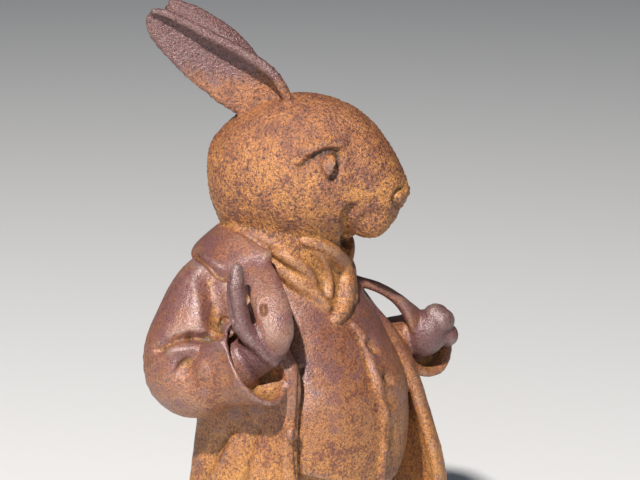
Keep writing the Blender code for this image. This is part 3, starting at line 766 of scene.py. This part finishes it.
WAISTCOAT_STROKES = [
    (4.5, -4.6, [(38, -77), (41.5, -82)]),
    (4.0, -4.6, [(50, -101.5), (52.5, -106)]),
    (5, -2.0, [(50, -116), (55, -124)]),
    (5, -2.0, [(53, -139), (52, -150)]),
]

# Waistcoat's overlap, drawn like the scarf's folds
WAISTCOAT_EDGES = [
    [(25, -64, 3, 2.6), (31, -72, 4, 3.4), (36, -86, 4.2, 3.6), (40, -98, 4.2, 3.6), (43.5, -110, 4.2, 3.6),
     (47.5, -126, 4.2, 3.6), (48.5, -142, 4.2, 3.6), (47, -156, 4.2, 3.6), (45, -180, 4, 3)],
]


# Fusing

def mesh_object(name, shapes):
    """One mesh object holding the shapes, in metres, raised onto the base."""
    points, faces, start = [], [], 0
    for shape_points, shape_faces in shapes:
        points.append(shape_points)
        faces.extend([[i + start for i in face] for face in shape_faces])
        start += len(shape_points)
    return surface(name, np.vstack(points) * UNIT + np.array([0.0, 0.0, RAISE]), faces)


def surface(name, points, faces):
    """Mesh object from points in metres, its faces turned outwards."""
    mesh = bpy.data.meshes.new(name)
    mesh.from_pydata(points.tolist(), [], faces)
    mesh.update()
    bm = bmesh.new()
    bm.from_mesh(mesh)
    bmesh.ops.recalc_face_normals(bm, faces=bm.faces)
    bm.to_mesh(mesh)
    bm.free()
    obj = bpy.data.objects.new(name, mesh)
    bpy.context.collection.objects.link(obj)
    return obj


def settle(obj):
    """Turns the object's modifiers into its mesh."""
    graph = bpy.context.evaluated_depsgraph_get()
    mesh = bpy.data.meshes.new_from_object(obj.evaluated_get(graph), depsgraph=graph)
    obj.modifiers.clear()
    old = obj.data
    obj.data = mesh
    bpy.data.meshes.remove(old)


def base_solid():
    """Low round base with an eased top edge, in metres."""
    angles = np.linspace(0, 2 * math.pi, BASE_SIDES, endpoint=False)
    edge = [(0.0, 0.0)]
    for k in range(4):
        a = math.pi / 2 * k / 3
        inset, below = BASE_EDGE_ROUND * (1 - math.cos(a)), BASE_EDGE_ROUND * (1 - math.sin(a))
        edge.append((inset, BASE_THICKNESS - below))
    rings = []
    for inset, z in edge:
        x = (BASE_WIDTH / 2 - inset) * np.cos(angles)
        y = (BASE_LENGTH / 2 - inset) * np.sin(angles)
        rings.append(np.stack([x, y, np.full_like(x, z)], axis=1))
    return solid_from_rings(rings)


# Surface of the casting

def table_of(mesh, name, of="vertices"):
    """One row of three numbers for each vertex: its place or its normal."""
    rows = np.empty(len(mesh.vertices) * 3)
    getattr(mesh, of).foreach_get(name, rows)
    return rows.reshape(-1, 3)


def note(mesh, name, values):
    """Keeps one number for each vertex, for the material to read."""
    layer = mesh.attributes.new(name, "FLOAT", "POINT")
    layer.data.foreach_set("value", np.asarray(values, dtype=np.float32))


def owners(places, groups):
    """Which group of shapes each place lies nearest to, as its number."""
    points, faces, owner, start = [], [], [], 0
    for number, shapes in enumerate(groups):
        for shape_points, shape_faces in shapes:
            points.extend((shape_points * UNIT + np.array([0.0, 0.0, RAISE])).tolist())
            faces.extend([i + start for i in face] for face in shape_faces)
            owner.extend([number] * len(shape_faces))
            start += len(shape_points)
    tree = BVHTree.FromPolygons(points, faces)
    return np.array([owner[tree.find_nearest(Vector(place))[2]] for place in places.tolist()])


def spread(mesh, values, rounds):
    """Evens values out over neighbouring vertices."""
    ends = np.empty(len(mesh.edges) * 2, dtype=np.int64)
    mesh.edges.foreach_get("vertices", ends)
    a, b = ends[0::2], ends[1::2]
    count = np.bincount(ends, minlength=len(values)).astype(float)
    values = np.array(values, dtype=float)
    for _ in range(rounds):
        if values.ndim == 1:
            total = np.bincount(a, values[b], len(values)) + np.bincount(b, values[a], len(values))
            values = total / count
        else:
            values = np.stack([spread(mesh, column, 1) for column in values.T], axis=1)
    return values


def hollowness(mesh, rounds):
    """How far each vertex lies below its surroundings, in metres; less than nothing on ridges."""
    places, normals = table_of(mesh, "co"), table_of(mesh, "normal")
    return ((spread(mesh, places, rounds) - places) * normals).sum(axis=1)


# Kinds of surface, and how deep the grain and lumps of each are, in 500ths
FUR, SCARF, COAT, WAISTCOAT, LEGS, PAWS = range(6)
GRAIN_DEPTH = {FUR: 0.75, SCARF: 0.18, COAT: 0.10, WAISTCOAT: 0.12, LEGS: 0.18, PAWS: 0.30}
LUMP_DEPTH = {FUR: 0.35, SCARF: 0.20, COAT: 0.40, WAISTCOAT: 0.35, LEGS: 0.50, PAWS: 0.45}
FUR_SHARE = {FUR: 1.0, PAWS: 0.35}
GRAIN_SIZE = 0.0030
GRAIN_GAP = 0.6
LUMP_SIZE = 0.012

# Where a hollow, ridge or narrow pit begins to show and how much more shows it fully, in 500ths
LEAST_DIP = 0.24
LEAST_RIDGE = 0.72
DIP_RANGE = 2.4
# Narrow pits are darkened as painted shade; hollows and ridges show in the rust's colour
LEAST_SHADED_PIT = 0.385
SHADED_PIT_RANGE = 1.1

# Heights, in metres, where the low parts' ochre ends and the crown's and ears' browner rust begins
LOW_TOP = 0.30
LOW_FADE = 0.12
CHEEK_HEIGHT = 0.400
CROWN_FADE = 0.060
# The ears above their foot, and the paws, are also darkened with painted shade
EAR_FOOT = 0.470
EAR_FADE = 0.025
SCARF_OCHRE = 0.7


def roughen(obj, owner):
    """Cast grain: crumbs close together on the fur, low lumps and fine grains on the cloth."""
    mesh = obj.data
    places, normals = table_of(mesh, "co"), table_of(mesh, "normal")
    grain = np.empty(len(places))
    lump = np.empty(len(places))
    for i, place in enumerate(places.tolist()):
        near = noise.voronoi(Vector(place) / GRAIN_SIZE)[0]
        grain[i] = min(near[1] - near[0], GRAIN_GAP) / GRAIN_GAP
        lump[i] = noise.noise(Vector(place) / LUMP_SIZE)
    grain_depth = spread(mesh, np.vectorize(GRAIN_DEPTH.get)(owner), 4)
    lump_depth = spread(mesh, np.vectorize(LUMP_DEPTH.get)(owner), 4)
    height = (grain - 0.5) * grain_depth + lump * lump_depth
    places += normals * (height * UNIT)[:, None]
    mesh.vertices.foreach_set("co", places.reshape(-1))
    mesh.update()


# Rust

class Signal:
    """A number or colour on its way through a material, worked on with the usual signs."""

    def __init__(self, paint, socket):
        self.paint = paint
        self.socket = socket

    def maths(self, operation, first, second):
        return self.paint.node("ShaderNodeMath", {"operation": operation}, {0: first, 1: second})

    def __add__(self, other):
        return self.maths("ADD", self, other)

    def __radd__(self, other):
        return self.maths("ADD", other, self)

    def __sub__(self, other):
        return self.maths("SUBTRACT", self, other)

    def __rsub__(self, other):
        return self.maths("SUBTRACT", other, self)

    def __mul__(self, other):
        return self.maths("MULTIPLY", self, other)

    def __rmul__(self, other):
        return self.maths("MULTIPLY", other, self)

    def between(self, low, high):
        """0 below low, 1 above high, easing from one to the other."""
        values = {"Value": self, "From Min": low, "From Max": high}
        return self.paint.node("ShaderNodeMapRange", {"interpolation_type": "SMOOTHSTEP"}, values)


class Paint:
    """A procedural material and the means to build it."""

    def __init__(self, name):
        self.material = bpy.data.materials.new(name)
        self.material.use_nodes = True
        self.nodes = self.material.node_tree.nodes
        self.links = self.material.node_tree.links
        self.shader = self.nodes["Principled BSDF"]
        self.place = self.node("ShaderNodeTexCoord", {}, {}, "Object")

    def node(self, kind, settings, values, output=0):
        made = self.nodes.new(kind)
        for name, value in settings.items():
            setattr(made, name, value)
        self.feed(made, values)
        return Signal(self, made.outputs[output])

    def feed(self, node, values):
        for name, value in values.items():
            if isinstance(value, Signal):
                self.links.new(value.socket, node.inputs[name])
            else:
                node.inputs[name].default_value = value

    def noise(self, size, detail=2.0, roughness=0.5):
        values = {"Vector": self.place, "Scale": 1.0 / size, "Detail": detail, "Roughness": roughness}
        return self.node("ShaderNodeTexNoise", {}, values)

    def kept(self, name):
        return self.node("ShaderNodeAttribute", {"attribute_name": name}, {}, "Fac")

    def mix(self, factor, first, second):
        settings = {"data_type": "RGBA"}
        return self.node("ShaderNodeMix", settings, {"Factor": factor, "A": first, "B": second}, "Result")


def colour(red, green, blue):
    return (red, green, blue, 1.0)


OCHRE = colour(0.66, 0.30, 0.065)
ORANGE = colour(0.44, 0.165, 0.045)
RED_BROWN = colour(0.19, 0.058, 0.030)
PURPLE = colour(0.185, 0.078, 0.080)
# DARK serves for dark rust speckle, and for the painted shade of pits, ears and paws
DARK = colour(0.020, 0.010, 0.008)
PALE = colour(0.40, 0.34, 0.29)

# Sizes of the rust's patterns and height of its crumbs, in metres
PATCH_SIZE = 0.036
MOTTLE_SIZE = 0.011
CRUMB_SIZE = 0.0021
DUST_SIZE = 0.0008
CRUMB_HEIGHT = 0.0016

METAL_SHARE = 0.12
GLOSS_INDEX = 1.7


def rust():
    """Ochre in the hollows, orange and red-brown on the fur, a glossier purple-brown skin on the cloth."""
    paint = Paint("rusted_cast_iron")
    fur, hollow, ridge = paint.kept("fur"), paint.kept("hollow"), paint.kept("ridge")
    low, deep, worn_and_shaded, crown = (paint.kept(name) for name in ("low", "deep", "worn_and_shaded", "crown"))
    patches = paint.noise(PATCH_SIZE, 4.0, 0.6)
    mottle = paint.noise(MOTTLE_SIZE, 5.0, 0.65)
    grain = paint.noise(CRUMB_SIZE, 3.0, 0.65)
    dust = paint.noise(DUST_SIZE, 2.0, 0.6)
    skin = patches * 0.6 + mottle * 0.8 + grain * 0.4 + worn_and_shaded * 0.45 + crown * 0.15
    bare = (skin - low * 0.20 - fur * 0.33 - hollow * 0.3).between(0.76, 1.0)
    rusty = paint.mix((mottle * 0.4 + patches * 0.2 + grain * 0.4).between(0.40, 0.60), RED_BROWN, ORANGE)
    yellow = mottle * 0.30 + patches * 0.30 + grain * 0.40 + hollow * 0.16 + low * 0.08 + fur * 0.03
    ochre = (yellow - worn_and_shaded * 0.24 - crown * 0.11).between(0.46, 0.74)
    base = paint.mix(ochre, rusty, OCHRE)
    base = paint.mix(bare * 0.92, base, PURPLE)
    base = paint.mix(grain.between(0.47, 0.30) * (0.40 + fur * 0.45), base, DARK)
    base = paint.mix(dust.between(0.52, 0.34) * 0.85, base, DARK)
    # Painted shade: narrow pits and creases, and the ears and paws, darkened towards black
    base = paint.mix(deep * 0.85 + worn_and_shaded * 0.22, base, DARK)
    base = paint.mix(ridge * mottle.between(0.62, 0.40) * 0.45, base, PALE)
    rough = 0.56 - bare * 0.20 - bare * dust.between(0.50, 0.62) * 0.08
    height = grain * (0.34 + fur * 0.7) + dust * 0.16
    bumped = {"Height": height, "Strength": 1.0, "Distance": CRUMB_HEIGHT}
    bump = paint.node("ShaderNodeBump", {}, bumped, "Normal")
    paint.feed(paint.shader, {"Base Color": base, "Roughness": rough, "Normal": bump})
    paint.feed(paint.shader, {"Metallic": METAL_SHARE, "IOR": GLOSS_INDEX})
    return paint.material


# The casting

def clothing_groups():
    """The figure's shapes by the kind of surface they have, in the order of the kinds' numbers."""
    return [
        head(),
        scarf() + scarf_folds(tree_of(scarf() + head() + [waistcoat()])),
        [coat(), collar(), button()] + coat_bands() + lapels() + near_sleeve() + far_sleeve(),
        [waistcoat()] + waistcoat_edges(),
        [trousers()] + legs(),
        near_paw() + far_paw(),
    ]


def fused_figure(groups):
    """The figure as one carved and grained mesh, thinned to the triangles kept."""
    figure = mesh_object("rabbit_casting", [shape for shapes in groups for shape in shapes])
    fuse = figure.modifiers.new("fuse", "REMESH")
    fuse.mode = "VOXEL"
    fuse.voxel_size = GRAIN
    settle(figure)
    carve(figure, FACE_STROKES + COAT_STROKES + WAISTCOAT_STROKES)
    carve(figure, FACE_STROKES, across_plane=head_axes()[1])
    carve(figure, LEFT_COAT_STROKES, across_plane=np.array([1.0, 0.0, 0.0]))
    soften = figure.modifiers.new("soften", "SMOOTH")
    soften.factor = 0.5
    soften.iterations = 3
    settle(figure)
    roughen(figure, owners(table_of(figure.data, "co"), groups))
    count = sum(len(p.vertices) - 2 for p in figure.data.polygons)
    thin = figure.modifiers.new("thin", "DECIMATE")
    thin.ratio = min(1.0, KEPT_TRIANGLES / count)
    settle(figure)
    return figure


def stand_on_base(figure):
    base = surface("base", *base_solid())
    join = figure.modifiers.new("join", "BOOLEAN")
    join.operation = "UNION"
    join.solver = "EXACT"
    join.object = base
    settle(figure)
    bpy.data.objects.remove(base, do_unlink=True)


def keep_within(mesh, low, high):
    """Presses the outermost grains back into the box from low to high."""
    places = np.clip(table_of(mesh, "co"), np.array(low), np.array(high))
    mesh.vertices.foreach_set("co", places.reshape(-1))
    mesh.update()


def risen(values, start, width):
    """0 up to start, 1 from width above it."""
    return np.clip((values - start) / width, 0.0, 1.0)


def note_surface(mesh, groups):
    """Notes fur, hollows, ridges, pits, low parts, crown, worn and shaded parts, for the rust and painted
    shade.
    """
    owner = owners(table_of(mesh, "co"), groups)
    note(mesh, "fur", spread(mesh, [FUR_SHARE.get(number, 0.0) for number in owner.tolist()], 3))
    dip = hollowness(mesh, 12) / UNIT
    note(mesh, "hollow", risen(dip, LEAST_DIP, DIP_RANGE))
    note(mesh, "ridge", risen(-dip, LEAST_RIDGE, DIP_RANGE))
    # Narrow pits and creases, which the material darkens as painted shade
    note(mesh, "deep", risen(hollowness(mesh, 5) / UNIT, LEAST_SHADED_PIT, SHADED_PIT_RANGE))
    height = table_of(mesh, "co")[:, 2]
    scarf_share = spread(mesh, owner == SCARF, 3) * SCARF_OCHRE
    note(mesh, "low", np.maximum(risen(-height, -LOW_TOP, LOW_FADE), scarf_share))
    note(mesh, "crown", risen(height, CHEEK_HEIGHT, CROWN_FADE))
    # Ears above their foot and the paws: browner rust, and painted shade in the material
    note(mesh, "worn_and_shaded", np.maximum(risen(height, EAR_FOOT, EAR_FADE), spread(mesh, owner == PAWS, 3)))


def casting():
    groups = clothing_groups()
    statue = fused_figure(groups)
    stand_on_base(statue)
    mesh = statue.data
    keep_within(mesh, cad_low, cad_high)
    note_surface(mesh, groups)
    for polygon in mesh.polygons:
        polygon.use_smooth = True
    mesh.materials.clear()
    mesh.materials.append(rust())
    return statue


# Floor, light and camera

CAMERA_AZIMUTH = -50.0
CAMERA_RISE = 15.0
CAMERA_DISTANCE = 1.5
CAMERA_AIM = (0.01543, -0.01838, 0.3539)
LENS = 112.5
SENSOR_WIDTH = 36.0
FLOOR_HALF = 6.0
FLOOR_COLOUR = colour(0.72, 0.72, 0.71)
FLOOR_ROUGHNESS = 0.8
SKY_COLOUR = colour(0.70, 0.82, 1.0)
SKY_STRENGTH = 0.12

# Azimuth and rise in degrees, distance and size in metres, power in watts, tint
LAMPS = {
    "key": (-67.0, 48.0, 4.0, 0.16, 310.0, (1.0, 0.96, 0.92)),
    "sheen": (-62.0, 16.0, 2.2, 0.9, 6.0, (0.70, 0.82, 1.0)),
}


def direction(azimuth, rise):
    """From the statue towards something that stands at that azimuth and rise, in degrees."""
    a, e = math.radians(azimuth), math.radians(rise)
    return Vector((math.sin(a) * math.cos(e), -math.cos(a) * math.cos(e), math.sin(e)))


def turn_towards(obj, back):
    obj.rotation_mode = "QUATERNION"
    obj.rotation_quaternion = back.to_track_quat("Z", "Y")


def floor():
    mesh = bpy.data.meshes.new("floor")
    corners = [(x * FLOOR_HALF, y * FLOOR_HALF, 0.0) for x, y in ((-1, -1), (1, -1), (1, 1), (-1, 1))]
    mesh.from_pydata(corners, [], [(0, 1, 2, 3)])
    obj = bpy.data.objects.new("floor", mesh)
    bpy.context.collection.objects.link(obj)
    paint = Paint("pale_floor")
    paint.feed(paint.shader, {"Base Color": FLOOR_COLOUR, "Roughness": FLOOR_ROUGHNESS})
    mesh.materials.append(paint.material)
    return obj


def lamp(name, azimuth, rise, distance, size, power, tint):
    light = bpy.data.lights.new(name, "AREA")
    light.shape = "DISK"
    light.size = size
    light.energy = power
    light.color = tint
    obj = bpy.data.objects.new(name, light)
    bpy.context.collection.objects.link(obj)
    back = direction(azimuth, rise)
    obj.location = Vector(CAMERA_AIM) + back * distance
    turn_towards(obj, back)


def camera():
    data = bpy.data.cameras.new("camera")
    data.sensor_width = SENSOR_WIDTH
    data.lens = LENS
    obj = bpy.data.objects.new("camera", data)
    bpy.context.collection.objects.link(obj)
    back = direction(CAMERA_AZIMUTH, CAMERA_RISE)
    obj.location = Vector(CAMERA_AIM) + back * CAMERA_DISTANCE
    turn_towards(obj, back)
    bpy.context.scene.camera = obj
    bpy.context.scene.view_settings.view_transform = "Standard"


def sky():
    world = bpy.data.worlds.new("studio")
    world.use_nodes = True
    background = world.node_tree.nodes["Background"]
    background.inputs["Color"].default_value = SKY_COLOUR
    background.inputs["Strength"].default_value = SKY_STRENGTH
    bpy.context.scene.world = world


statue = casting()
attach(statue, "root")
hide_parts("rabbit_statue")
ground = floor()
sky()
for name, setting in LAMPS.items():
    lamp(name, *setting)
camera()
